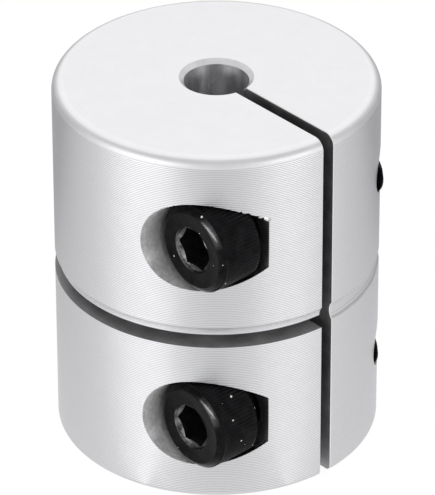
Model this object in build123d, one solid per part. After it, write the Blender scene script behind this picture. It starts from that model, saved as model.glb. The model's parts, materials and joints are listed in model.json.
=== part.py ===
from build123d import *
from math import cos, radians, tan
import os

# A clamping rigid shaft coupling: a slotted aluminium body and the two socket head screws that close it.
# Lengths are in millimetres. The origin is the centre of the lower end face and +Z runs along the shaft bore.
# The clamp slit opens towards +X. The screws lie parallel to Y, with their heads on the -Y side.

# Turned body
body_diameter = 25.0
body_length = 30.0
upper_rim_radius = 0.9
lower_rim_radius = 0.5

# Shaft bore
bore_diameter = 5.0
bore_mouth_chamfer = 0.35

# Clamp slit: full length, from the bore out through the +X side
clamp_slit_width = 1.0

# Cross slit: sawn in from the -Y side to the middle plane, so that each clamp jaw can move by itself
cross_slit_floor = 13.65
cross_slit_width = 1.0

# Shallow round-bottomed groove turned around the body, centred on the roof of the cross slit
groove_tool_radius = 1.2
groove_depth = 0.27

# Clamp screws: depth of their axes in from the body's side, their heights, and the seat of a tight head
screw_inset = 4.25
lower_screw_height = 6.75
upper_screw_drop = 7.6
seat_distance = 5.0

# The screws are run in loosely, so each head stands off its seat and its socket points where it stopped
lower_head_lift = 1.1
upper_head_lift = 0.85
lower_socket_turn = 0.0
upper_socket_turn = 0.0

# Socket head screw, M4
screw_length = 14.0
thread_diameter = 4.0
thread_end_chamfer = 0.35
head_diameter = 7.0
head_height = 4.0
head_edge_chamfer = 0.4
neck_cone = 0.2
socket_width = 3.0
socket_depth = 2.2
socket_mouth_margin = 0.08
socket_point_angle = 120.0

# Radial clearances between the screws and the body
pocket_clearance = 0.25
shank_clearance = 0.25
thread_clearance = 0.05

# Sizes that follow from the ones above
body_radius = body_diameter / 2
bore_radius = bore_diameter / 2
thread_radius = thread_diameter / 2
head_radius = head_diameter / 2
cross_slit_roof = cross_slit_floor + cross_slit_width
screw_offset = body_radius - screw_inset

# Name of each screw: height of its axis, lift of its head off the seat, turn of its socket
clamp_screws = {
    "upper_clamp_screw": (body_length - upper_screw_drop, upper_head_lift, upper_socket_turn),
    "lower_clamp_screw": (lower_screw_height, lower_head_lift, lower_socket_turn),
}

# Whether a primitive stands on the plane z = 0 or hangs below it
STANDING = (Align.CENTER, Align.CENTER, Align.MIN)
HANGING = (Align.CENTER, Align.CENTER, Align.MAX)


def round_edges(solid):
    """The circular edges of a turned solid, from the lowest to the highest."""
    return solid.edges().filter_by(GeomType.CIRCLE).sort_by(Axis.Z)


def turned_blank():
    """The body as it leaves the lathe: rims, groove and bore, with no slits or screw holes."""
    blank = Cylinder(body_radius, body_length, align=STANDING)
    blank = fillet(round_edges(blank)[0], lower_rim_radius)
    blank = fillet(round_edges(blank)[-1], upper_rim_radius)
    tool_path_radius = body_radius + groove_tool_radius - groove_depth
    blank -= Pos(0, 0, cross_slit_roof) * Torus(tool_path_radius, groove_tool_radius)

    bore = Cylinder(bore_radius, body_length, align=STANDING)
    mouth = Cone(bore_radius + bore_mouth_chamfer, bore_radius, bore_mouth_chamfer, align=STANDING)
    upper_mouth = Pos(0, 0, body_length) * Rot(180, 0, 0) * mouth
    return blank - bore - mouth - upper_mouth


def cutter_along_y(radius, start, end, height):
    """A round cutter on a screw's axis, from y = start to y = end."""
    lying = Location((screw_offset, start, height), (-90, 0, 0))
    return lying * Cylinder(radius, end - start, align=STANDING)


def screw_hole(height):
    """Counterbored pocket for the head, clearance hole in one jaw and tapped hole in the other."""
    pocket = cutter_along_y(head_radius + pocket_clearance, -body_diameter, -seat_distance, height)
    clearance_hole = cutter_along_y(thread_radius + shank_clearance, -body_diameter, 0, height)
    tapped_hole = cutter_along_y(thread_radius + thread_clearance, 0, body_diameter, height)
    return pocket + clearance_hole + tapped_hole


def coupling_body():
    """The finished body: the turned blank with its screw holes and both slits."""
    body = turned_blank()
    for height, _, _ in clamp_screws.values():
        body -= screw_hole(height)
    clamp_slit = Box(body_diameter, clamp_slit_width, body_length,
                     align=(Align.MIN, Align.CENTER, Align.MIN))
    cross_slit = Box(body_diameter, body_diameter, cross_slit_width,
                     align=(Align.CENTER, Align.MAX, Align.MIN))
    return body - clamp_slit - Pos(0, 0, cross_slit_floor) * cross_slit


def hexagon_socket(turn):
    """Cutter for the hexagon socket below z = 0, with a countersunk mouth and a conical drill point."""
    flat_radius = socket_width / 2
    corner_radius = flat_radius / cos(radians(30))
    socket = extrude(Rot(0, 0, turn) * RegularPolygon(corner_radius, 6), -socket_depth)
    mouth_radius = corner_radius + socket_mouth_margin
    mouth = Cone(flat_radius, mouth_radius, mouth_radius - flat_radius, align=HANGING)
    point_height = flat_radius / tan(radians(socket_point_angle / 2))
    point = Cone(0, flat_radius, point_height, align=HANGING)
    return socket + mouth + Pos(0, 0, -socket_depth) * point


def clamp_screw(turn):
    """Socket head screw, head up: the underside of its head is the plane z = 0. Its thread is left plain."""
    head = Cylinder(head_radius, head_height, align=STANDING)
    head = chamfer(round_edges(head)[-1], head_edge_chamfer)
    shank = Cylinder(thread_radius, screw_length, align=HANGING)
    shank = chamfer(round_edges(shank)[0], thread_end_chamfer)
    screw = head + shank
    under_head = round_edges(screw).group_by(Axis.Z)[2]
    screw = chamfer(under_head.sort_by(SortBy.RADIUS)[0], neck_cone)
    return screw - Pos(0, 0, head_height) * hexagon_socket(turn)


def in_place(screw, height, lift):
    """Turn a screw's head towards -Y and stand it off its seat by its lift."""
    return Location((screw_offset, -seat_distance - lift, height), (90, 0, 0)) * screw


parts = {"coupling_body": coupling_body()}
for name, (height, lift, turn) in clamp_screws.items():
    parts[name] = in_place(clamp_screw(turn), height, lift)

os.makedirs("parts", exist_ok=True)
for name, part in parts.items():
    part.label = name
    export_step(part, f"parts/{name}.step")
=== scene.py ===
"""Looks of a clamping rigid shaft coupling: a slotted aluminium body and two black socket head screws.

Pieces are modelled in millimetres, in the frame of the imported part, and put into the scene in metres.
"""

import json
import logging
from collections.abc import Iterable
from dataclasses import dataclass, field
from enum import Enum
from math import acos, atan2, cos, pi, radians, sin, sqrt, tan
from random import Random

import bmesh
import bpy
from mathutils import Matrix, Vector


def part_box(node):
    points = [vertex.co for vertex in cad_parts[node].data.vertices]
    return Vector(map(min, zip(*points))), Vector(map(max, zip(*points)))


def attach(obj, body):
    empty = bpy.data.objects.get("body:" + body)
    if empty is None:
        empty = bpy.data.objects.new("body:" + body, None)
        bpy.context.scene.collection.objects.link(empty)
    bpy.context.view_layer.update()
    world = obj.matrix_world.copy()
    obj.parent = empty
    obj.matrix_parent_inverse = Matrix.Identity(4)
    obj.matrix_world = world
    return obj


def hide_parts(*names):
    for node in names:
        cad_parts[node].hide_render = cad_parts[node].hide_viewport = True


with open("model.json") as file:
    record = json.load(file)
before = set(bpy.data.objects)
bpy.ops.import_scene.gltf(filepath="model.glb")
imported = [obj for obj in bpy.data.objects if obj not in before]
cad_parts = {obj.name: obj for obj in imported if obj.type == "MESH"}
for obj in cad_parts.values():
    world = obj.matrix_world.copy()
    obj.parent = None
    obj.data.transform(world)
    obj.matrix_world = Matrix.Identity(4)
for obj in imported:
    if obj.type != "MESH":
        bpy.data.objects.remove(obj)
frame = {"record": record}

LOG = logging.getLogger("shaft_coupling")
MM = 0.001
FULL_TURN = 2 * pi
Outline = list[tuple[float, float]]
Path = list[tuple[float, float, float]]
Colour = tuple[float, float, float]
ScrewAxes = list[tuple[float, float]]
Socket = bpy.types.NodeSocket

# Most values of a noise node lie between these
NOISE_SPAN = (0.3, 0.7)
# A socket for turns counts from 0 to 1
QUARTER_TURN = 0.25

# Distances in millimetres: points this close are one point, the same for a long thread, a point this
# close to a plane lies on it, and how far a cutter reaches past what it cuts
SAME_PLACE = 1e-5
THREAD_SEAM = 1e-4
ON_PLANE = 1e-6
OVERRUN = 1.0

# Where one turn of a thread rises to its crest and falls back to its root, as shares of the pitch
THREAD_RISE = (0.18, 0.44)
THREAD_FALL = (0.62, 0.88)

# Distance of a tight screw head's seat from the body's middle plane
SEAT_DISTANCE = 5.0


# Node trees


class NodeSheet:
    """Short calls that add nodes to one node tree."""

    def __init__(self, tree: bpy.types.NodeTree) -> None:
        """Empty the tree.

        Args:
            tree: the node tree of a material or of the world.
        """
        self.tree = tree
        tree.nodes.clear()

    def add(self, kind: str, inputs: dict | None = None, **settings: object) -> bpy.types.Node:
        """Add a node.

        Args:
            kind: the node's type name.
            inputs: socket name or number to a value, or to the output that feeds it.
            settings: the node's own properties.

        Returns:
            The new node.
        """
        node = self.tree.nodes.new(kind)
        for name, value in settings.items():
            setattr(node, name, value)
        for socket, value in (inputs or {}).items():
            if isinstance(value, Socket):
                self.tree.links.new(value, node.inputs[socket])
            else:
                node.inputs[socket].default_value = value
        return node

    def math(self, operation: str, a: Socket | float, b: Socket | float = 0.0,
             c: Socket | float = 0.0) -> Socket:
        """Result of a Math node."""
        return self.add("ShaderNodeMath", {0: a, 1: b, 2: c}, operation=operation).outputs[0]

    def vector(self, operation: str, a: Socket | Colour, b: Socket | Colour = (0, 0, 0)) -> Socket:
        """Result of a Vector Math node that gives a vector."""
        return self.add("ShaderNodeVectorMath", {0: a, 1: b}, operation=operation).outputs["Vector"]

    def scaled(self, a: Socket | Colour, factor: Socket | float) -> Socket:
        """A vector or colour times a number."""
        node = self.add("ShaderNodeVectorMath", {0: a, "Scale": factor}, operation="SCALE")
        return node.outputs["Vector"]

    def length(self, a: Socket) -> Socket:
        """Length of a vector."""
        return self.add("ShaderNodeVectorMath", {0: a}, operation="LENGTH").outputs["Value"]

    def along(self, a: Socket, direction: Colour) -> Socket:
        """How far a vector reaches in a direction."""
        node = self.add("ShaderNodeVectorMath", {0: a, 1: direction}, operation="DOT_PRODUCT")
        return node.outputs["Value"]

    def remap(self, value: Socket, low: float, high: float, new_low: float, new_high: float,
              interpolation: str = "LINEAR") -> Socket:
        """Move a value from one range to another, and hold it inside.

        Args:
            value: the value.
            low: start of its range.
            high: end of its range.
            new_low: what the start becomes.
            new_high: what the end becomes.
            interpolation: how it goes from one to the other.

        Returns:
            The moved value.
        """
        node = self.add("ShaderNodeMapRange", {0: value, 1: low, 2: high, 3: new_low, 4: new_high},
                        interpolation_type=interpolation)
        return node.outputs[0]

    def noise(self, vector: Socket, size: float, detail: float = 2.0) -> Socket:
        """Noise from 0 to 1 over a vector, in patches of a size."""
        return self.add("ShaderNodeTexNoise", {"Vector": vector, "Scale": 1 / size,
                                               "Detail": detail}).outputs[0]

    def noise_along(self, distance: Socket, size: float, detail: float = 2.0) -> Socket:
        """Noise from 0 to 1 along one distance, in bands of a size."""
        node = self.add("ShaderNodeTexNoise", {"W": distance, "Scale": 1 / size, "Detail": detail},
                        noise_dimensions="1D")
        return node.outputs[0]

    def place_mm(self) -> Socket:
        """Position on the piece, in millimetres."""
        return self.scaled(self.add("ShaderNodeTexCoord").outputs["Object"], 1 / MM)

    def from_nearer(self, place: Socket, screw_axes: ScrewAxes) -> tuple[Socket, Socket]:
        """Where a place lies around the nearer screw.

        Args:
            place: position on the piece, in millimetres.
            screw_axes: x and z of each of the two screws' axes, in millimetres.

        Returns:
            The vector from that screw's axis to the place, and its length.
        """
        flat = self.vector("MULTIPLY", place, (1, 0, 1))
        arms = [self.vector("SUBTRACT", flat, (x, 0, z)) for x, z in screw_axes]
        reaches = [self.length(arm) for arm in arms]
        nearer = self.math("LESS_THAN", reaches[1], reaches[0])
        arm = self.add("ShaderNodeMix", {"Factor": nearer, 4: arms[0], 5: arms[1]},
                       data_type="VECTOR").outputs[1]
        return arm, self.math("MINIMUM", reaches[0], reaches[1])


def new_material(name: str) -> tuple[bpy.types.Material, NodeSheet]:
    """Make an empty node-based material.

    Args:
        name: its name.

    Returns:
        The material, and the sheet of its node tree.
    """
    material = bpy.data.materials.new(name)
    material.use_nodes = True
    return material, NodeSheet(material.node_tree)


# Finishes


class Lay(Enum):
    """Which way the machining marks of a surface run."""

    AROUND_BORE = "turned: rings around the shaft bore, on the walls and on the end faces"
    AROUND_SCREWS = "bored: rings around the nearer screw's axis"
    SAWN = "sawn: wide arcs of the slitting saw"


@dataclass(frozen=True)
class MachinedAluminium:
    """Bright bare aluminium with the marks of one machining step. Lengths are in millimetres.

    Attributes:
        name: the material's name.
        lay: which way its marks run.
        feed, feed_height, feed_painted_shade: width and height of a feed mark, and how much darker its
            downward-facing side is painted, as painted shade that follows the bump's slope.
        wander_size: size of the areas over which the feed marks drift.
        scratch_pitch, scratch_height, scratch_shade: the same for the fine scratches.
        patch_size, patch_stretch, patch_shade: size, stretch and darkening of the uneven patches.
        roughness_spread: how far the patches take the roughness up and down.
        painted_shade_radii, painted_deep_shade: painted shade deep in a pocket; the surface is darker by
            this much at the first distance from the
        bore's axis, and no more at the second.
        saw_centre: centre of the slitting saw.
    """

    name: str
    lay: Lay
    colour: Colour = (0.9, 0.9, 0.925)
    roughness: float = 0.4
    roughness_spread: float = 0.06
    anisotropy: float = 0.7
    feed: float = 0.154
    feed_height: float = 0.008
    feed_painted_shade: float = 0.32
    wander_size: float = 3.0
    scratch_pitch: float = 0.06
    scratch_height: float = 0.0008
    scratch_shade: float = 0.05
    patch_size: float = 1.4
    patch_stretch: Colour = (1.0, 1.0, 1.0)
    patch_shade: float = 0.03
    painted_shade_radii: tuple[float, float] = (10.4, 12.2)
    painted_deep_shade: float = 0.0
    saw_centre: tuple[float, float, float] = (60.0, 0.0, 15.0)

    def material(self, screw_axes: ScrewAxes) -> bpy.types.Material:
        """Make the material.

        Args:
            screw_axes: x and z of each screw's axis, in millimetres.

        Returns:
            The new material.
        """
        material, sheet = new_material(self.name)
        place = sheet.place_mm()
        across, along = self.marks(sheet, place, screw_axes)

        wander = sheet.noise(place, self.wander_size, 1.0)
        phase = sheet.math("MULTIPLY_ADD", wander, self.feed / 2, across)
        turn = sheet.math("MULTIPLY", phase, FULL_TURN / self.feed)
        wave = sheet.math("SINE", turn)
        # Which side of each feed mark faces up, towards the light
        feed_lit_side = sheet.math("MULTIPLY", sheet.math("COSINE", turn), -1.0)
        scratches = sheet.noise_along(across, self.scratch_pitch, 3.0)
        patches = sheet.noise(sheet.vector("MULTIPLY", place, self.patch_stretch), self.patch_size, 3.0)

        height = sheet.math("MULTIPLY_ADD", wave, self.feed_height / 2,
                            sheet.math("MULTIPLY", scratches, self.scratch_height))
        bump = sheet.add("ShaderNodeBump", {"Distance": MM, "Height": height})
        roughness = sheet.remap(patches, *NOISE_SPAN, self.roughness * (1 - self.roughness_spread),
                                self.roughness * (1 + self.roughness_spread))
        # Distance from the bore's axis, which sets the painted shade deep in the screw pockets
        from_bore = sheet.length(sheet.vector("MULTIPLY", place, (1, 1, 0)))
        # Painted shade: the downward-facing side of each feed mark is painted darker, in step with the
        # bump's slope
        tone = sheet.remap(feed_lit_side, -1.0, 1.0, 1 - self.feed_painted_shade, 1.0)
        for shade_by, span, darkening in (
                (scratches, NOISE_SPAN, self.scratch_shade), (patches, NOISE_SPAN, self.patch_shade),
                (from_bore, self.painted_shade_radii, self.painted_deep_shade)):
            tone = sheet.math("MULTIPLY", tone, sheet.remap(shade_by, *span, 1 - darkening, 1.0))
        shader = sheet.add("ShaderNodeBsdfPrincipled", {
            "Base Color": sheet.scaled(self.colour, tone), "Metallic": 1.0, "Roughness": roughness,
            "Anisotropic": self.anisotropy, "Anisotropic Rotation": QUARTER_TURN,
            "Tangent": along, "Normal": bump.outputs[0]})
        sheet.add("ShaderNodeOutputMaterial", {"Surface": shader.outputs[0]})
        return material

    def marks(self, sheet: NodeSheet, place: Socket, screw_axes: ScrewAxes) -> tuple[Socket, Socket]:
        """Direction of the machining marks.

        Args:
            sheet: the material's node sheet.
            place: position on the piece, in millimetres.
            screw_axes: x and z of each screw's axis, in millimetres.

        Returns:
            The distance across the marks, and the direction along them.
        """
        if self.lay is Lay.AROUND_BORE:
            flat = sheet.vector("MULTIPLY", place, (1, 1, 0))
            height = sheet.along(place, (0, 0, 1))
            return (sheet.math("ADD", sheet.length(flat), height),
                    sheet.vector("CROSS_PRODUCT", flat, (0, 0, 1)))
        if self.lay is Lay.SAWN:
            arm = sheet.vector("SUBTRACT", place, self.saw_centre)
            normal = sheet.add("ShaderNodeNewGeometry").outputs["True Normal"]
            return sheet.length(arm), sheet.vector("CROSS_PRODUCT", arm, normal)
        arm, reach = sheet.from_nearer(place, screw_axes)
        return (sheet.math("ADD", reach, sheet.along(place, (0, 1, 0))),
                sheet.vector("CROSS_PRODUCT", arm, (0, 1, 0)))


@dataclass(frozen=True)
class BlackOxide:
    """Black oxide on steel, with a thin film of oil, a little dust, and where asked painted sheen and shade
    on one side. Lengths are in millimetres.

    Attributes:
        name: the material's name.
        grain, grain_height: size and height of the fine grain.
        patch_size, patch_contrast: size of the uneven patches, and how far they change the tone.
        roughness_spread: how far the patches take the roughness up and down.
        wear_and_sheen_side: direction from the screw's axis in which the oxide is rubbed through, and
            painted lighter as sheen where the lamps light it.
        wear_and_sheen_reach: how far towards that side this starts, and where it is full.
        away_from_sheen_share: tone of the rest, as a share of the colour: painted shade on the sides away
            from the light.
        speck_spacing, speck_radius, speck_sizes: distance between specks of dust, radius of the largest,
            and the noise values that give the smallest and the largest.
        speck_area, speck_share: size of the dusty areas, and the noise value up to which there is dust.
        speck_brightness: brightness of the dust.
    """

    name: str
    colour: Colour = (0.008, 0.008, 0.009)
    metallic: float = 0.0
    roughness: float = 0.27
    roughness_spread: float = 0.25
    specular: float = 0.04
    grain: float = 0.1
    grain_height: float = 0.006
    patch_size: float = 0.8
    patch_contrast: float = 0.4
    wear_and_sheen_side: Colour = (0.67, 0.0, 0.74)
    wear_and_sheen_reach: tuple[float, float] = (0.91, 0.985)
    away_from_sheen_share: float = 1.0
    speck_spacing: float = 0.7
    speck_radius: float = 0.095
    speck_sizes: tuple[float, float] = (0.35, 0.65)
    speck_area: float = 2.0
    speck_share: float = 0.48
    speck_brightness: float = 0.7

    def material(self, screw_axes: ScrewAxes) -> bpy.types.Material:
        """Make the material.

        Args:
            screw_axes: x and z of each screw's axis, in millimetres.

        Returns:
            The new material.
        """
        material, sheet = new_material(self.name)
        place = sheet.place_mm()
        grain = sheet.noise(place, self.grain, 3.0)
        patches = sheet.noise(place, self.patch_size, 2.0)
        bump = sheet.add("ShaderNodeBump", {
            "Distance": MM, "Height": sheet.math("MULTIPLY", grain, self.grain_height)})
        roughness = sheet.remap(patches, *NOISE_SPAN, self.roughness * (1 - self.roughness_spread),
                                self.roughness * (1 + self.roughness_spread))
        tone = sheet.remap(patches, *NOISE_SPAN, 1 - self.patch_contrast, 1 + self.patch_contrast)
        # Painted sheen and shade: the tone is full on one side of each screw, where the lamps light it, and
        # lower on the other sides
        arm, _ = sheet.from_nearer(place, screw_axes)
        side = sheet.along(sheet.vector("NORMALIZE", arm), self.wear_and_sheen_side)
        tone = sheet.math("MULTIPLY", tone, sheet.remap(side, *self.wear_and_sheen_reach, self.away_from_sheen_share, 1.0))
        speck = self.specks(sheet, place)
        colour = sheet.vector("ADD", sheet.scaled(self.colour, tone),
                              sheet.scaled((self.speck_brightness,) * 3, speck))
        metallic = sheet.math("MULTIPLY", sheet.math("SUBTRACT", 1.0, speck), self.metallic)
        shader = sheet.add("ShaderNodeBsdfPrincipled", {
            "Base Color": colour, "Metallic": metallic, "Roughness": roughness,
            "Specular IOR Level": self.specular, "Normal": bump.outputs[0]})
        sheet.add("ShaderNodeOutputMaterial", {"Surface": shader.outputs[0]})
        return material

    def specks(self, sheet: NodeSheet, place: Socket) -> Socket:
        """Tiny pale specks of dust, of several sizes.

        Args:
            sheet: the material's node sheet.
            place: position on the piece, in millimetres.

        Returns:
            How much dust there is, from 0 to 1.
        """
        cells = sheet.add("ShaderNodeTexVoronoi", {"Vector": place, "Scale": 1 / self.speck_spacing})
        reach = sheet.remap(sheet.noise(place, self.speck_spacing, 0.0), *self.speck_sizes, 0.0,
                            self.speck_radius / self.speck_spacing)
        dots = sheet.math("LESS_THAN", cells.outputs["Distance"], reach)
        areas = sheet.math("LESS_THAN", sheet.noise(place, self.speck_area, 1.0), self.speck_share)
        return sheet.math("MULTIPLY", dots, areas)


# Meshes


def arc(centre: tuple[float, float], radius: float, start: float, end: float, steps: int) -> Outline:
    """Points on an arc.

    Args:
        centre: the arc's centre.
        radius: its radius.
        start: angle of the first point, in radians.
        end: angle of the last point, in radians.
        steps: number of straight steps.

    Returns:
        The points, ends included.
    """
    angles = [start + (end - start) * step / steps for step in range(steps + 1)]
    return [(centre[0] + radius * cos(a), centre[1] + radius * sin(a)) for a in angles]


def spun(outline: Outline, steps: int, closed: bool = True) -> bmesh.types.BMesh:
    """Solid of revolution around Z.

    Args:
        outline: radius and height of each corner of its half section.
        steps: number of facets around it.
        closed: whether the outline goes on from its last corner to its first.

    Returns:
        The closed mesh, with outward normals.
    """
    mesh = bmesh.new()
    corners = [mesh.verts.new((radius, 0, height)) for radius, height in outline]
    ends = corners[1:] + corners[:1] if closed else corners[1:]
    sides = [mesh.edges.new(pair) for pair in zip(corners, ends)]
    bmesh.ops.spin(mesh, geom=corners + sides, cent=(0, 0, 0), axis=(0, 0, 1), angle=FULL_TURN,
                   steps=steps, use_merge=True)
    bmesh.ops.remove_doubles(mesh, verts=mesh.verts, dist=SAME_PLACE)
    bmesh.ops.recalc_face_normals(mesh, faces=mesh.faces)
    return mesh


def cylinder(radius: float, bottom: float, top: float, steps: int) -> bmesh.types.BMesh:
    """Closed round bar on Z.

    Args:
        radius: its radius.
        bottom: height of its lower end.
        top: height of its upper end.
        steps: number of facets around it.

    Returns:
        The closed mesh.
    """
    mesh = bmesh.new()
    bmesh.ops.create_cone(mesh, cap_ends=True, segments=steps, radius1=radius, radius2=radius,
                          depth=top - bottom, matrix=Matrix.Translation((0, 0, (bottom + top) / 2)))
    return mesh


def block(low: tuple[float, float, float], high: tuple[float, float, float]) -> bmesh.types.BMesh:
    """Box with its edges along the axes.

    Args:
        low: its lowest corner.
        high: its highest corner.

    Returns:
        The closed mesh.
    """
    mesh = bmesh.new()
    low, high = Vector(low), Vector(high)
    bmesh.ops.create_cube(mesh, size=1.0, matrix=Matrix.Translation((low + high) / 2)
                          @ Matrix.Diagonal((high - low).to_4d()))
    return mesh


def thread(crest: float, root: float, pitch: float, start: float, end: float,
           steps: int = 36) -> bmesh.types.BMesh:
    """Closed bar with a right-handed thread on Z.

    Args:
        crest: outside radius.
        root: radius at the bottom of the thread.
        pitch: rise of one turn.
        start: height of its flat lower end.
        end: height of its flat upper end.
        steps: facets in one turn.

    Returns:
        The closed mesh.
    """
    mesh = bmesh.new()
    first = (start // pitch - 1) * pitch
    turns = int((end - first) // pitch) + 2
    ridge = [(root, 0.0), (root, THREAD_RISE[0]), (crest, THREAD_RISE[1]),
             (crest, THREAD_FALL[0]), (root, THREAD_FALL[1]), (root, 1.0)]
    corners = [mesh.verts.new((radius, 0, first + share * pitch)) for radius, share in ridge]
    sides = [mesh.edges.new(pair) for pair in zip(corners, corners[1:])]
    bmesh.ops.spin(mesh, geom=corners + sides, cent=(0, 0, 0), axis=(0, 0, 1), angle=turns * FULL_TURN,
                   steps=turns * steps, dvec=(0, 0, pitch / steps))
    bmesh.ops.remove_doubles(mesh, verts=mesh.verts, dist=THREAD_SEAM)
    for height, clear in ((start, "clear_inner"), (end, "clear_outer")):
        geometry = mesh.verts[:] + mesh.edges[:] + mesh.faces[:]
        cut = bmesh.ops.bisect_plane(mesh, geom=geometry, dist=ON_PLANE, plane_co=(0, 0, height),
                                     plane_no=(0, 0, 1), **{clear: True})
        rim = [piece for piece in cut["geom_cut"] if isinstance(piece, bmesh.types.BMEdge)]
        bmesh.ops.edgeloop_fill(mesh, edges=rim)
    bmesh.ops.recalc_face_normals(mesh, faces=mesh.faces)
    return mesh


def is_level(face: bmesh.types.BMFace) -> bool:
    """Whether a face slopes by less than 60 degrees."""
    return abs(face.normal.z) > cos(radians(60))


def working_object(name: str, mesh: bmesh.types.BMesh,
                   *materials: bpy.types.Material) -> bpy.types.Object:
    """Object in the scene from a mesh.

    Args:
        name: the object's name.
        mesh: its mesh, which is freed.
        materials: the finishes that its faces have by number.

    Returns:
        The object.
    """
    data = bpy.data.meshes.new(name)
    mesh.to_mesh(data)
    mesh.free()
    for material in materials:
        data.materials.append(material)
    piece = bpy.data.objects.new(name, data)
    bpy.context.scene.collection.objects.link(piece)
    return piece


def rods(paths: Iterable[tuple[Path, bool]], radius: float,
         material: bpy.types.Material) -> bpy.types.Object:
    """Thin square rods along some paths, to break the edges that they follow.

    Args:
        paths: the points of each path, and whether it closes on itself.
        radius: half of a rod's diagonal.
        material: the finish that the broken edges get.

    Returns:
        One object with all the rods.
    """
    line = bpy.data.curves.new("rods", "CURVE")
    line.dimensions = "3D"
    line.bevel_depth = radius
    line.bevel_resolution = 0
    line.use_fill_caps = True
    for path, closed in paths:
        spline = line.splines.new("POLY")
        spline.points.add(len(path) - 1)
        for point, place in zip(spline.points, path):
            point.co = (*place, 1.0)
        spline.use_cyclic_u = closed
    guide = bpy.data.objects.new("rods", line)
    bpy.context.scene.collection.objects.link(guide)
    shape = guide.evaluated_get(bpy.context.evaluated_depsgraph_get())
    mesh = bmesh.new()
    mesh.from_mesh(bpy.data.meshes.new_from_object(shape))
    bpy.data.objects.remove(guide)
    bmesh.ops.remove_doubles(mesh, verts=mesh.verts, dist=SAME_PLACE)
    bmesh.ops.recalc_face_normals(mesh, faces=mesh.faces)
    return working_object("rods", mesh, material)


def combine(piece: bpy.types.Object, tool: bpy.types.Object, operation: str = "DIFFERENCE") -> None:
    """Cut one solid from another, or join it on; its faces bring their own finish along.

    Args:
        piece: the object that is changed.
        tool: the other solid, which is removed from the scene.
        operation: DIFFERENCE or UNION.
    """
    step = piece.modifiers.new("combine", "BOOLEAN")
    step.operation = operation
    step.solver = "EXACT"
    step.material_mode = "TRANSFER"
    step.object = tool
    shape = piece.evaluated_get(bpy.context.evaluated_depsgraph_get())
    result = bpy.data.meshes.new_from_object(shape)
    piece.modifiers.clear()
    piece.data = result
    bpy.data.objects.remove(tool)


def close_pinholes(piece: bpy.types.Object) -> None:
    """Fill the tiny holes that the cuts leave in a mesh.

    Args:
        piece: the piece, whose mesh is closed everywhere else.
    """
    mesh = bmesh.new()
    mesh.from_mesh(piece.data)
    bmesh.ops.holes_fill(mesh, edges=[edge for edge in mesh.edges if edge.is_boundary], sides=0)
    mesh.to_mesh(piece.data)
    mesh.free()


def into_place(piece: bpy.types.Object, place: Matrix = Matrix.Identity(4)) -> None:
    """Move a finished mesh to its place and from millimetres to metres."""
    piece.data.transform(Matrix.Scale(MM, 4) @ place)


def shade(piece: bpy.types.Object, sharpest: float) -> None:
    """Shade a piece smoothly, but for its sharp edges.

    Args:
        piece: the piece.
        sharpest: the angle in radians from which an edge is sharp.
    """
    mesh = bmesh.new()
    mesh.from_mesh(piece.data)
    for face in mesh.faces:
        face.smooth = True
    for edge in mesh.edges:
        edge.smooth = len(edge.link_faces) == 2 and edge.calc_face_angle() < sharpest
    mesh.to_mesh(piece.data)
    mesh.free()


# Sub-assemblies


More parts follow.
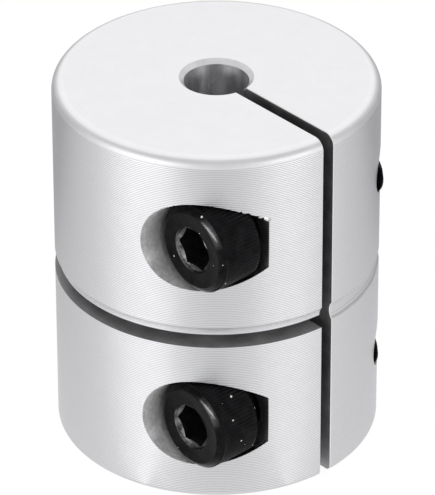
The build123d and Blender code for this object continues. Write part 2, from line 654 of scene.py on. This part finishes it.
@dataclass
class ClampScrew:
    """One socket head screw, in millimetres, modelled on Z with the underside of its head at height 0.

    Attributes:
        name: the piece's name.
        node: the solid that it replaces.
        height: height of its axis in the body.
        lift: how far its head stands off its seat.
        offset: distance of its axis from the shaft bore's.
        seat: distance of its seat from the body's middle plane.
        head_overlap: how far the shank's mesh reaches into the head's.
        worn_crest: depth of the thread's crest that has lost its oxide.
        face_ridge: height of the ridge around the head's sunk face.
        washer_face: radius of the flat under the head.
        drill_margin: how much smaller than the socket's half width its drill point is.
        smooth_under: angle in degrees from which an edge is shaded sharp.
    """

    name: str
    node: str
    height: float
    lift: float
    offset: float
    seat: float
    socket_turn: float = 0.0
    thread_diameter: float = 4.0
    pitch: float = 0.7
    thread_depth: float = 0.38
    worn_crest: float = 0.05
    length: float = 14.0
    head_overlap: float = 0.2
    end_chamfer: float = 0.2
    head_diameter: float = 7.0
    head_height: float = 4.0
    rim_height: float = 0.36
    rim_width: float = 0.46
    rim_rounding: float = 0.08
    face_ridge: float = 0.05
    washer_face: float = 3.2
    knurl_teeth: int = 76
    knurl_depth: float = 0.065
    knurl_start: float = 0.45
    knurl_end: float = 3.5
    knurl_run_out: float = 0.1
    knurl_corners: int = 4
    socket_width: float = 3.0
    socket_depth: float = 2.2
    drill_margin: float = 0.12
    recess_radius: float = 1.88
    recess_floor: float = 1.77
    recess_depth: float = 0.2
    recess_facets: int = 72
    smooth_under: float = 30.0

    def head(self) -> bmesh.types.BMesh:
        """Knurled head with a sloping rim and a slightly sunk face.

        Returns:
            The closed mesh, with its socket still to be cut.
        """
        radius = self.head_diameter / 2
        top = self.head_height
        flat = radius - self.rim_width
        rings = [(self.washer_face, 0.0, 0.0), (radius, radius - self.washer_face, 0.0),
                 (radius, self.knurl_start, 0.0), (radius, self.knurl_start + self.knurl_run_out, 1.0),
                 (radius, self.knurl_end - self.knurl_run_out, 1.0), (radius, self.knurl_end, 0.0)]
        rings += [(radius, top - self.rim_height - self.rim_rounding, 0.0),
                  (radius - self.rim_rounding, top - self.rim_height + self.rim_rounding / 2, 0.0),
                  (flat + self.rim_rounding, top - self.rim_rounding / 2, 0.0),
                  (flat - self.face_ridge, top, 0.0),
                  (flat - 3 * self.face_ridge, top - self.face_ridge, 0.0)]
        mesh = bmesh.new()
        count = self.knurl_corners * self.knurl_teeth
        ring = bmesh.ops.create_circle(mesh, cap_ends=False, segments=count, radius=1.0)["verts"]
        first = edges = list({edge for vertex in ring for edge in vertex.link_edges})
        for index, (ring_radius, level, knurl) in enumerate(rings):
            if index:
                grown = bmesh.ops.extrude_edge_only(mesh, edges=edges)["geom"]
                ring = [piece for piece in grown if isinstance(piece, bmesh.types.BMVert)]
                edges = [piece for piece in grown if isinstance(piece, bmesh.types.BMEdge)
                         and piece.is_boundary]
            for vertex in ring:
                angle = atan2(vertex.co.y, vertex.co.x)
                corner = round(angle / FULL_TURN * count) % self.knurl_corners
                between_teeth = corner in (0, self.knurl_corners - 1)
                reach = ring_radius - self.knurl_depth * knurl * between_teeth
                vertex.co = (reach * cos(angle), reach * sin(angle), level)
        bmesh.ops.edgeloop_fill(mesh, edges=edges)
        bmesh.ops.edgeloop_fill(mesh, edges=first)
        bmesh.ops.recalc_face_normals(mesh, faces=mesh.faces)
        return mesh

    def socket(self) -> bmesh.types.BMesh:
        """Cutter for the hexagon socket.

        Returns:
            The closed mesh.
        """
        corner = self.socket_width / 2 / cos(pi / 6)
        mesh = cylinder(corner, self.head_height - self.socket_depth, self.head_height + OVERRUN, 6)
        corner_on_x = pi / 2
        bmesh.ops.rotate(mesh, verts=mesh.verts, cent=(0, 0, 0),
                         matrix=Matrix.Rotation(corner_on_x + self.socket_turn, 3, "Z"))
        return mesh

    def recess(self) -> bmesh.types.BMesh:
        """Cutter for the round recess that the socket starts in, and for the socket's drill point.

        Returns:
            The closed mesh.
        """
        drill = self.socket_width / 2 - self.drill_margin
        top = self.head_height - self.face_ridge
        bottom = self.head_height - self.socket_depth
        outline = [(0.0, bottom - drill * tan(pi / 6)), (drill, bottom),
                   (drill, top - 2 * self.recess_depth), (self.recess_floor, top - self.recess_depth),
                   (self.recess_radius, top), (self.recess_radius, top + OVERRUN), (0.0, top + OVERRUN)]
        return spun(outline, self.recess_facets, closed=False)

    def shank(self, grow: float = 0.0) -> bmesh.types.BMesh:
        """Threaded shank.

        Args:
            grow: how much larger than the screw it is, to cut the hole that the screw runs in.

        Returns:
            The closed mesh.
        """
        crest = self.thread_diameter / 2 + grow
        end = -2 * self.length if grow else -self.length
        start = 0.0 if grow else self.head_overlap
        mesh = thread(crest, crest - self.thread_depth, self.pitch, end, start)
        if not grow:
            for vertex in mesh.verts:
                reach = vertex.co.xy.length
                limit = crest - self.end_chamfer + (vertex.co.z + self.length)
                if reach > limit:
                    vertex.co.xy *= limit / reach
        return mesh

    def placing(self) -> Matrix:
        """From the screw's own frame to its place in the body, in millimetres."""
        return (Matrix.Translation((self.offset, -self.seat - self.lift, self.height))
                @ Matrix.Rotation(pi / 2, 4, "X"))

    def build(self, finish: bpy.types.Material, worn_and_sheen: bpy.types.Material, clean: bpy.types.Material,
              rubbed_and_sheen: bpy.types.Material) -> bpy.types.Object:
        """Model the screw and put it in the scene.

        Args:
            finish: its material.
            worn_and_sheen: the material of the head's rim and of the thread's crest, worn bare and with
                painted sheen on its lit side.
            clean: the material inside its socket.
            rubbed_and_sheen: the material of the socket's mouth, rubbed and with painted sheen on its lit
                side.

        Returns:
            The finished piece.
        """
        head = self.head()
        for face in head.faces:
            centre = face.calc_center_median()
            # The head's rim gets the worn finish, with painted sheen on its lit side
            in_rim = centre.xy.length > self.head_diameter / 2 - self.rim_width
            face.material_index = in_rim and centre.z > self.head_height - self.rim_height
        piece = working_object(self.name, head, finish, worn_and_sheen)
        combine(piece, working_object("socket", self.socket(), clean))
        # The socket's mouth: rubbed steel, with painted sheen on its lit side and painted shade on the rest
        combine(piece, working_object("recess", self.recess(), rubbed_and_sheen))
        shank = self.shank()
        # The thread's crest gets the same worn finish, with its painted sheen
        for face in shank.faces:
            depth = self.thread_diameter / 2 - face.calc_center_median().xy.length
            face.material_index = depth < self.worn_crest
        combine(piece, working_object("shank", shank, finish, worn_and_sheen), "UNION")
        shade(piece, radians(self.smooth_under))
        into_place(piece, self.placing())
        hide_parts(self.node)
        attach(piece, "root")
        return piece


@dataclass
class CouplingBody:
    """The turned and slotted body, in millimetres, standing on the plane z = 0.

    Attributes:
        radius, length, bore_radius: its main sizes.
        screws: the two clamp screws.
        groove_tool: radius of the round-nosed tool that turned the groove.
        mouth_start: distance from the middle plane at which a tapped hole's plain mouth starts.
        thread_relief: how much wider than the thread that mouth is.
        slit_edge_break, pocket_edge_break: width of the broken edges.
        burr_radius, burr_wander, burr_turn, burr_seed: half thickness, unevenness, angle and random seed
            of the uneven edge at the upper pocket.
        flat_from, rounded_from, crown_from: how level a turned face is, from 0 for a wall to 1 for an end
            face, where it counts as an end face, as part of a rounded rim and as that rim's crown.
        smooth_under: angle in degrees from which an edge is shaded sharp.
    """

    radius: float
    length: float
    bore_radius: float
    screws: list[ClampScrew]
    upper_rim: float = 0.9
    lower_rim: float = 0.5
    bore_chamfer: float = 0.35
    clamp_slit_width: float = 1.0
    cross_slit_floor: float = 13.65
    cross_slit_width: float = 1.0
    groove_tool: float = 1.2
    groove_depth: float = 0.27
    pocket_clearance: float = 0.25
    shank_clearance: float = 0.25
    thread_clearance: float = 0.05
    mouth_start: float = 6.6
    thread_relief: float = 0.03
    slit_edge_break: float = 0.045
    pocket_edge_break: float = 0.025
    burr_radius: float = 0.13
    burr_wander: float = 0.12
    burr_turn: float = 0.4
    burr_seed: int = 5
    flat_from: float = 0.999
    rounded_from: float = 0.1
    crown_from: float = 0.6
    facets: int = 360
    pocket_facets: int = 128
    hole_facets: int = 96
    rim_steps: int = 12
    lower_rim_steps: int = 8
    groove_steps: int = 12
    smooth_under: float = 25.0
    turned: MachinedAluminium = MachinedAluminium("turned_aluminium", Lay.AROUND_BORE)
    faced: MachinedAluminium = MachinedAluminium(
        "faced_aluminium", Lay.AROUND_BORE, colour=(0.92, 0.92, 0.94), roughness=0.38, anisotropy=0.0,
        feed_height=0.001, feed_painted_shade=0.03)
    crown: MachinedAluminium = MachinedAluminium(
        "rim_crown_aluminium", Lay.AROUND_BORE, colour=(0.92, 0.92, 0.94), roughness=0.32, anisotropy=0.0,
        feed_height=0.0005, feed_painted_shade=0.0)
    # Painted shade: a darker copy of the rim's finish on the lower part of the rounded rims, which dims the
    # lamps' highlight there
    painted_shade_shoulder: MachinedAluminium = MachinedAluminium(
        "rim_shoulder_painted_shade_aluminium", Lay.AROUND_BORE, colour=(0.79, 0.79, 0.81), roughness=0.52,
        anisotropy=0.0, feed_height=0.001, feed_painted_shade=0.03)
    drilled: MachinedAluminium = MachinedAluminium(
        "drilled_aluminium", Lay.AROUND_BORE, roughness=0.42, anisotropy=0.7, feed_height=0.003,
        feed_painted_shade=0.03, patch_size=0.9, patch_stretch=(1.0, 1.0, 0.25), patch_shade=0.35)
    # Painted shade: the pocket walls are painted darker deeper in, towards the screw heads
    bored: MachinedAluminium = MachinedAluminium(
        "bored_aluminium", Lay.AROUND_SCREWS, colour=(0.99, 0.99, 1.0), roughness=0.56, anisotropy=0.8,
        feed=0.12, feed_height=0.002, feed_painted_shade=0.05, scratch_shade=0.2, patch_size=0.3, patch_shade=0.22,
        painted_deep_shade=0.6)
    # Painted shadow: the flat seats of the pockets, beside and under the screw heads, are painted dark
    seat: MachinedAluminium = MachinedAluminium(
        "screw_seat_painted_shade_aluminium", Lay.AROUND_SCREWS, colour=(0.35, 0.35, 0.35), roughness=0.5,
        anisotropy=0.0, feed_painted_shade=0.05, patch_shade=0.2)
    # Sawn faces are duller, and their dark colour is also painted shade inside the narrow slits
    slit_sawn: MachinedAluminium = MachinedAluminium(
        "slit_sawn_painted_shade_aluminium", Lay.SAWN, colour=(0.43, 0.43, 0.44), roughness=0.55, anisotropy=0.3,
        feed=0.35, feed_height=0.003, feed_painted_shade=0.05, patch_shade=0.25)
    cross_sawn: MachinedAluminium = MachinedAluminium(
        "cross_sawn_painted_shade_aluminium", Lay.SAWN, colour=(0.53, 0.53, 0.54), roughness=0.75, anisotropy=0.0,
        feed=0.35, feed_height=0.003, feed_painted_shade=0.06, patch_shade=0.2, saw_centre=(0.0, -45.0, 14.15))
    burnished: MachinedAluminium = MachinedAluminium(
        "burnished_aluminium", Lay.AROUND_BORE, colour=(0.97, 0.97, 0.98), roughness=0.35, anisotropy=0.0,
        feed_height=0.001, feed_painted_shade=0.0, patch_size=0.6, patch_shade=0.1)

    def half_section(self) -> Outline:
        """Half section of the turned blank.

        Returns:
            Radius and height of each of its corners.
        """
        groove_height = self.cross_slit_floor + self.cross_slit_width
        centre = (self.radius + self.groove_tool - self.groove_depth, groove_height)
        spread = acos((self.groove_tool - self.groove_depth) / self.groove_tool)
        mouth = self.bore_radius + self.bore_chamfer
        outline = [(mouth, 0.0)]
        outline += arc((self.radius - self.lower_rim, self.lower_rim), self.lower_rim, -pi / 2, 0,
                       self.lower_rim_steps)
        outline += arc(centre, self.groove_tool, pi + spread, pi - spread, self.groove_steps)
        outline += arc((self.radius - self.upper_rim, self.length - self.upper_rim), self.upper_rim,
                       0, pi / 2, self.rim_steps)
        outline += [(mouth, self.length), (self.bore_radius, self.length - self.bore_chamfer),
                    (self.bore_radius, self.bore_chamfer)]
        return outline

    def blank(self) -> bmesh.types.BMesh:
        """Turned blank.

        Returns:
            The closed mesh, with each face numbered by its place in turned_finishes.
        """
        mesh = spun(self.half_section(), self.facets)
        for face in mesh.faces:
            face.material_index = self.turned_finishes().index(self.turned_finish(face))
        return mesh

    def turned_finish(self, face: bmesh.types.BMFace) -> MachinedAluminium:
        """Choose the finish of one face of the turned blank.

        Args:
            face: the face.

        Returns:
            One of turned_finishes.
        """
        centre = face.calc_center_median()
        level = abs(face.normal.z)
        if centre.xy.length < self.bore_radius + self.bore_chamfer:
            return self.burnished if is_level(face) else self.drilled
        if level > self.flat_from:
            return self.faced
        # The lower part of each rounded rim gets the darker finish, as painted shade
        if level > self.rounded_from and centre.z > self.length - self.upper_rim:
            return self.crown if level > self.crown_from else self.painted_shade_shoulder
        if level > self.rounded_from and centre.z < self.lower_rim:
            return self.painted_shade_shoulder
        return self.turned

    def turned_finishes(self) -> list[MachinedAluminium]:
        """Finishes of the turned blank, in the order of their numbers."""
        return [self.turned, self.faced, self.crown, self.painted_shade_shoulder, self.drilled, self.burnished]

    def wall(self, x: float) -> float:
        """Distance of the round wall from the plane y = 0, at an x."""
        return sqrt(self.radius ** 2 - x ** 2)

    def pocket_radius(self, screw: ClampScrew) -> float:
        """Radius of the pocket for a screw's head."""
        return screw.head_diameter / 2 + self.pocket_clearance

    def pocket_corner(self, screw: ClampScrew) -> float:
        """Angle around a screw's axis at which the mouth of its pocket comes down to its seat."""
        return acos((self.wall(screw.seat) - screw.offset) / self.pocket_radius(screw))

    def tapped_mouth(self, screw: ClampScrew) -> float:
        """Radius of the plain end of a screw's tapped hole."""
        return screw.thread_diameter / 2 + self.thread_clearance + self.thread_relief

    def slit_edges(self) -> list[tuple[Path, bool]]:
        """Edges along both sides of the clamp slit, around the half section and through the bore."""
        half = self.clamp_slit_width / 2
        return [([(sqrt(radius ** 2 - half ** 2), side * half, height)
                  for radius, height in self.half_section()], True) for side in (-1, 1)]

    def pocket_edges(self, steps: int = 96) -> list[tuple[Path, bool]]:
        """Edges of the screw head pockets and of the tapped holes' far ends, on the round wall.

        Args:
            steps: number of straight steps in each.

        Returns:
            The points of each edge, and whether it closes on itself.
        """
        paths = []
        for screw in self.screws:
            axis = (screw.offset, screw.height)
            corner = self.pocket_corner(screw)
            pocket = arc(axis, self.pocket_radius(screw), corner, FULL_TURN - corner, steps)
            paths.append(([(x, -self.wall(x), z) for x, z in pocket], True))
            tapped = arc(axis, self.tapped_mouth(screw), 0, FULL_TURN * (1 - 1 / steps), steps - 1)
            paths.append(([(x, self.wall(x), z) for x, z in tapped], True))
        return paths

    def burr(self, steps: int = 9) -> list[tuple[Path, bool]]:
        """Uneven edge that the cutter left at the upper pocket's corner, beside the clamp slit.

        Args:
            steps: number of straight steps in it.

        Returns:
            Its points, and that it doesn't close on itself.
        """
        screw = max(self.screws, key=lambda screw: screw.height)
        chance = Random(self.burr_seed)
        corner = self.pocket_corner(screw)
        path = []
        for x, z in arc((screw.offset, screw.height), self.pocket_radius(screw), corner,
                        corner + self.burr_turn, steps):
            x += chance.uniform(-self.burr_wander, self.burr_wander)
            path.append((x, -self.wall(x), z + chance.uniform(-self.burr_wander, self.burr_wander)))
        return [(path, False)]

    def crossing_edges(self) -> list[tuple[Path, bool]]:
        """Edges where the cross slit's floor and roof meet the clamp slit."""
        half = self.clamp_slit_width / 2
        return [([(self.bore_radius, -half, z), (self.radius + OVERRUN, -half, z)], False)
                for z in (self.cross_slit_floor, self.cross_slit_floor + self.cross_slit_width)]

    def cut_screw_hole(self, piece: bpy.types.Object, screw: ClampScrew, bored: bpy.types.Material,
                       seat: bpy.types.Material) -> None:
        """Cut a screw's head pocket, clearance hole and tapped hole.

        Args:
            piece: the body.
            screw: the screw.
            bored: the finish of the round walls.
            seat: the finish of the flat faces, painted dark as the screw heads' shadow.
        """
        beyond = 2 * self.radius
        place = Matrix.Translation((screw.offset, 0, screw.height)) @ Matrix.Rotation(pi / 2, 4, "X")
        pocket = cylinder(self.pocket_radius(screw), screw.seat, beyond, self.pocket_facets)
        hole = cylinder(screw.thread_diameter / 2 + self.shank_clearance, 0.0, beyond, self.hole_facets)
        mouth = cylinder(self.tapped_mouth(screw), -beyond, -self.mouth_start, self.hole_facets)
        for face in pocket.faces:
            face.material_index = is_level(face)
        for tool in (pocket, hole, mouth):
            tool.transform(place)
            combine(piece, working_object("cutter", tool, bored, seat))
        tap = screw.shank(self.thread_clearance)
        tap.transform(screw.placing())
        bmesh.ops.bisect_plane(tap, geom=tap.verts[:] + tap.edges[:] + tap.faces[:], dist=ON_PLANE,
                               plane_co=(0, 0, 0), plane_no=(0, 1, 0), clear_inner=True)
        bmesh.ops.holes_fill(tap, edges=[edge for edge in tap.edges if edge.is_boundary], sides=0)
        combine(piece, working_object("tap", tap, bored))

    def saw_slits(self, piece: bpy.types.Object, slit_sawn: bpy.types.Material,
                  cross_sawn: bpy.types.Material) -> None:
        """Saw the clamp slit and the cross slit.

        Args:
            piece: the body.
            slit_sawn: the finish of the clamp slit, dark partly from the saw and partly as painted shade.
            cross_sawn: the finish of the cross slit, dark partly from the saw and partly as painted shade.
        """
        beyond = 2 * self.radius
        half = self.clamp_slit_width / 2
        floor = self.cross_slit_floor
        clamp_slit = block((0, -half, -OVERRUN), (beyond, half, self.length + OVERRUN))
        combine(piece, working_object("clamp_slit", clamp_slit, slit_sawn))
        cross_slit = block((-beyond, -beyond, floor), (beyond, 0, floor + self.cross_slit_width))
        combine(piece, working_object("cross_slit", cross_slit, cross_sawn))

    def break_edges(self, piece: bpy.types.Object, burnished: bpy.types.Material) -> None:
        """Break the edges that the cutters left.

        Args:
            piece: the body.
            burnished: the finish of the broken edges.
        """
        combine(piece, rods(self.pocket_edges(), self.pocket_edge_break, burnished))
        combine(piece, rods(self.burr(), self.burr_radius, burnished))
        for edges in (self.slit_edges(), self.crossing_edges()):
            combine(piece, rods(edges, self.slit_edge_break, burnished))

    def build(self) -> bpy.types.Object:
        """Model the body and put it in the scene.

        Returns:
            The finished piece.
        """
        axes = [(screw.offset, screw.height) for screw in self.screws]
        *turned, burnished = (finish.material(axes) for finish in self.turned_finishes())
        bored, seat, slit_sawn, cross_sawn = (
            finish.material(axes) for finish in (self.bored, self.seat, self.slit_sawn, self.cross_sawn))
        piece = working_object("slotted_body", self.blank(), *turned, burnished)
        for screw in self.screws:
            self.cut_screw_hole(piece, screw, bored, seat)
        self.saw_slits(piece, slit_sawn, cross_sawn)
        self.break_edges(piece, burnished)
        close_pinholes(piece)
        shade(piece, radians(self.smooth_under))
        into_place(piece)
        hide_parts("coupling_body")
        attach(piece, "root")
        return piece


# Studio


@dataclass
class Softbox:
    """A soft lamp: where it stands as seen from the coupling, its size in metres and its power."""

    turn: float
    rise: float
    width: float
    height: float
    power: float


@dataclass
class Card:
    """A white card on the floor beside the coupling, seen only in reflections.

    Attributes:
        wall_turn: the place on the wall that mirrors it, in degrees to the right of the camera's side.
        near: its extra light close to the wall.
        far: the same at its far end.
        spread: half of the angle that it fills, in degrees.
        reach: its length, in millimetres.
    """

    wall_turn: float
    near: float
    far: float
    spread: float = 40.0
    reach: float = 35.0


@dataclass
class Studio:
    """Plain white sweep, the soft lamps and the camera of the photograph. Lengths are in millimetres.

    Attributes:
        target: the point that the camera and the lamps look at.
        azimuth, elevation, roll: the camera's angles, in degrees.
        distance: distance from the camera to the target.
        focal_pixels, image_height: focal length and height of the picture, in its pixels.
        shift_pixels: how far to the right of the target, and below it, the camera aims.
        sight: nearest and farthest distance that the camera sees, in metres.
        lamp_distance: distance from the lamps to the target, in metres.
        wall_radius: radius of the wall that mirrors the cards.
        world_front, world_canopy: how bright the surroundings and the canopy are in reflections.
        canopy_tilt, canopy_edge: how far the canopy leans away from the camera, and its soft edge.
        ambient: light of the surroundings on matt surfaces.
        floor_white: how bright the floor is to the camera.
        floor_front, floor_behind, floor_ramp: how bright it is in reflections before and behind the
            coupling, and between which distances it changes.
        floor_far_share, floor_far: what is left of that far behind, and between which distances.
        shadow_share: how much of its own shading, and so of its shadow, the camera sees.
    """

    target: tuple[float, float, float] = (0.0, 0.0, 15.0)
    azimuth: float = 48.295
    elevation: float = 31.767
    roll: float = -0.146
    distance: float = 381.9
    focal_pixels: float = 4948.4
    image_height: float = 495.0
    sensor_width: float = 36.0
    sight: tuple[float, float] = (0.01, 10.0)
    shift_pixels: tuple[float, float] = (0.61, 2.32)
    lamp_distance: float = 0.45
    softboxes: list[Softbox] = field(default_factory=lambda: [
        Softbox(turn=-48.0, rise=14.0, width=0.34, height=0.06, power=0.55),
        Softbox(turn=50.0, rise=14.0, width=0.3, height=0.06, power=0.38)])
    cards: list[Card] = field(default_factory=lambda: [
        Card(wall_turn=-27.0, near=0.35, far=0.17), Card(wall_turn=26.0, near=0.2, far=0.09)])
    wall_radius: float = 12.5
    world_front: float = 0.6
    world_canopy: float = 1.01
    canopy_tilt: float = 0.7
    canopy_edge: tuple[float, float] = (0.76, 0.94)
    ambient: float = 0.7
    floor_colour: float = 0.8
    floor_white: float = 1.05
    floor_front: float = 0.89
    floor_behind: float = 0.74
    floor_ramp: tuple[float, float] = (-20.0, 12.0)
    floor_far_share: float = 0.6
    floor_far: tuple[float, float] = (-32.0, -20.0)
    floor_reach: float = 3000.0
    shadow_share: float = 0.1

    def build(self) -> None:
        """Add the camera, the lamps, the world and the floor."""
        self.camera()
        self.world()
        self.floor()
        for softbox in self.softboxes:
            self.lamp(softbox)
        bpy.context.scene.view_settings.view_transform = "Standard"

    def away(self, turn: float, rise: float) -> Vector:
        """Direction from the coupling, turned right from the camera's side and raised, in degrees."""
        a, e = radians(self.azimuth + turn), radians(rise)
        return Vector((sin(a) * cos(e), -cos(a) * cos(e), sin(e)))

    def camera(self) -> None:
        """Camera at the photograph's viewing angle."""
        back = self.away(0.0, self.elevation)
        level = self.away(90.0, 0.0)
        upright = back.cross(level)
        roll = radians(self.roll)
        right = level * cos(roll) + upright * sin(roll)
        up = back.cross(right)
        sideways, down = (shift * self.distance / self.focal_pixels for shift in self.shift_pixels)
        aim = Vector(self.target) + right * sideways - up * down
        lens = bpy.data.cameras.new("photo_camera")
        lens.sensor_width = self.sensor_width
        lens.lens = self.focal_pixels / self.image_height * self.sensor_width
        lens.clip_start, lens.clip_end = self.sight
        camera = bpy.data.objects.new("photo_camera", lens)
        bpy.context.scene.collection.objects.link(camera)
        turn = Matrix((right, up, back)).transposed().to_4x4()
        camera.matrix_world = Matrix.Translation((aim + back * self.distance) * MM) @ turn
        bpy.context.scene.camera = camera

    def lamp(self, softbox: Softbox) -> None:
        """Add one soft lamp.

        Args:
            softbox: its place, size and power.
        """
        away = self.away(softbox.turn, softbox.rise)
        light = bpy.data.lights.new("softbox", "AREA")
        light.shape = "RECTANGLE"
        light.size, light.size_y = softbox.width, softbox.height
        light.energy = softbox.power
        holder = bpy.data.objects.new("softbox", light)
        holder.location = Vector(self.target) * MM + away * self.lamp_distance
        holder.rotation_euler = away.to_track_quat("Z", "Y").to_euler()
        bpy.context.scene.collection.objects.link(holder)

    def world(self) -> None:
        """Surroundings: a white canopy over and behind the coupling, and grey around it."""
        world = bpy.data.worlds.new("studio")
        world.use_nodes = True
        bpy.context.scene.world = world
        sheet = NodeSheet(world.node_tree)
        rays = sheet.add("ShaderNodeLightPath").outputs
        towards = sheet.add("ShaderNodeTexCoord").outputs["Generated"]
        canopy = Vector((0, 0, 1)) - self.canopy_tilt * self.away(0.0, 0.0)
        sky = sheet.remap(sheet.along(towards, tuple(canopy)), *self.canopy_edge,
                          self.world_front, self.world_canopy)
        mirrored = sheet.math("MULTIPLY", sky,
                              sheet.math("MAXIMUM", rays["Is Glossy Ray"], rays["Is Transmission Ray"]))
        ambient = sheet.math("MULTIPLY", rays["Is Diffuse Ray"], self.ambient)
        strength = sheet.math("MAXIMUM", rays["Is Camera Ray"], sheet.math("MAXIMUM", mirrored, ambient))
        background = sheet.add("ShaderNodeBackground", {"Color": (1, 1, 1, 1), "Strength": strength})
        sheet.add("ShaderNodeOutputWorld", {"Surface": background.outputs[0]})

    def floor_in_mirrors(self, sheet: NodeSheet, place: Socket) -> Socket:
        """How bright the floor is in reflections, with its cards.

        Args:
            sheet: the floor material's node sheet.
            place: position on the floor, in millimetres.

        Returns:
            The strength of its light.
        """
        ahead = sheet.along(place, tuple(self.away(0.0, 0.0)))
        light = sheet.math("MULTIPLY",
                           sheet.remap(ahead, *self.floor_ramp, self.floor_behind, self.floor_front),
                           sheet.remap(ahead, *self.floor_far, self.floor_far_share, 1.0))
        for card in self.cards:
            foot = self.wall_radius * self.away(card.wall_turn, 0.0)
            arm = sheet.vector("SUBTRACT", place, tuple(foot))
            mirrored_sight = tuple(self.away(2 * card.wall_turn, 0.0))
            aim = sheet.along(sheet.vector("NORMALIZE", arm), mirrored_sight)
            share = sheet.remap(aim, cos(radians(card.spread)), 1.0, 0.0, 1.0, "SMOOTHSTEP")
            extra = sheet.remap(sheet.length(arm), 0.0, card.reach, card.near, card.far)
            light = sheet.math("MULTIPLY_ADD", share, extra, light)
        return light

    def floor(self) -> None:
        """Pale floor: white to the eye but for a faint shadow, and a little darker in reflections."""
        material, sheet = new_material("studio_floor")
        rays = sheet.add("ShaderNodeLightPath").outputs
        mirrored = self.floor_in_mirrors(sheet, sheet.place_mm())
        level = sheet.math("MAXIMUM", mirrored,
                           sheet.math("MULTIPLY", rays["Is Camera Ray"], self.floor_white))
        seen = sheet.math("MAXIMUM", sheet.math("MULTIPLY", rays["Is Camera Ray"], 1 - self.shadow_share),
                          sheet.math("MAXIMUM", rays["Is Glossy Ray"], rays["Is Transmission Ray"]))
        plain = sheet.add("ShaderNodeBsdfDiffuse", {"Color": (self.floor_colour,) * 3 + (1,)})
        glow = sheet.add("ShaderNodeEmission", {"Color": (1, 1, 1, 1), "Strength": level})
        mixed = sheet.add("ShaderNodeMixShader", {0: seen, 1: plain.outputs[0], 2: glow.outputs[0]})
        sheet.add("ShaderNodeOutputMaterial", {"Surface": mixed.outputs[0]})
        mesh = bmesh.new()
        bmesh.ops.create_grid(mesh, x_segments=1, y_segments=1, size=self.floor_reach)
        floor = working_object("studio_floor", mesh, material)
        into_place(floor)


def screw_finishes(screw_axes: ScrewAxes) -> list[bpy.types.Material]:
    """Finishes of the screws.

    Args:
        screw_axes: x and z of each screw's axis, in millimetres.

    Returns:
        The materials that ClampScrew.build takes, in its order.
    """
    oxides = [
        BlackOxide("black_oxide_steel"),
        # Rubbed-through rim and thread crest, lighter only on the lit side: wear with painted sheen and
        # shade
        BlackOxide("worn_and_sheen_oxide_steel", colour=(0.08, 0.08, 0.082), metallic=0.9, roughness=0.22,
                   away_from_sheen_share=0.15),
        BlackOxide("socket_oxide_steel", speck_share=0.0),
        # Socket mouth, lighter only on its lit side: wear with painted sheen and shade
        BlackOxide("rubbed_and_sheen_oxide_steel", colour=(0.17, 0.17, 0.174), metallic=0.9, roughness=0.35,
                   patch_size=0.5, patch_contrast=0.8, wear_and_sheen_side=(-0.87, 0.0, -0.5),
                   wear_and_sheen_reach=(0.4, 0.95), away_from_sheen_share=0.35, speck_share=0.0)]
    return [oxide.material(screw_axes) for oxide in oxides]


def main() -> None:
    """Build the coupling and its studio, and report each piece."""
    logging.basicConfig(level=logging.INFO, format="%(name)s: %(message)s")
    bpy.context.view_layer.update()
    body_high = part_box("coupling_body")[1] / MM
    bore = next(mount for mount in frame["record"]["mounts"] if mount["name"] == "shaft_bore")
    screws = []
    for side in ("upper", "lower"):
        node = f"{side}_clamp_screw"
        low, high = (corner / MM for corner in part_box(node))
        centre = (low + high) / 2
        screws.append(ClampScrew(
            name=f"{side}_socket_screw", node=node, height=centre.z, offset=centre.x, seat=SEAT_DISTANCE,
            lift=-low.y - ClampScrew.head_height - SEAT_DISTANCE))
    finishes = screw_finishes([(screw.offset, screw.height) for screw in screws])
    pieces = [CouplingBody(body_high.y, body_high.z, bore["dims"]["r_mm"], screws).build()]
    pieces += [screw.build(*finishes) for screw in screws]
    for piece in pieces:
        LOG.info("%s: %d faces", piece.name, len(piece.data.polygons))
    Studio().build()


if __name__ == "__main__":
    main()
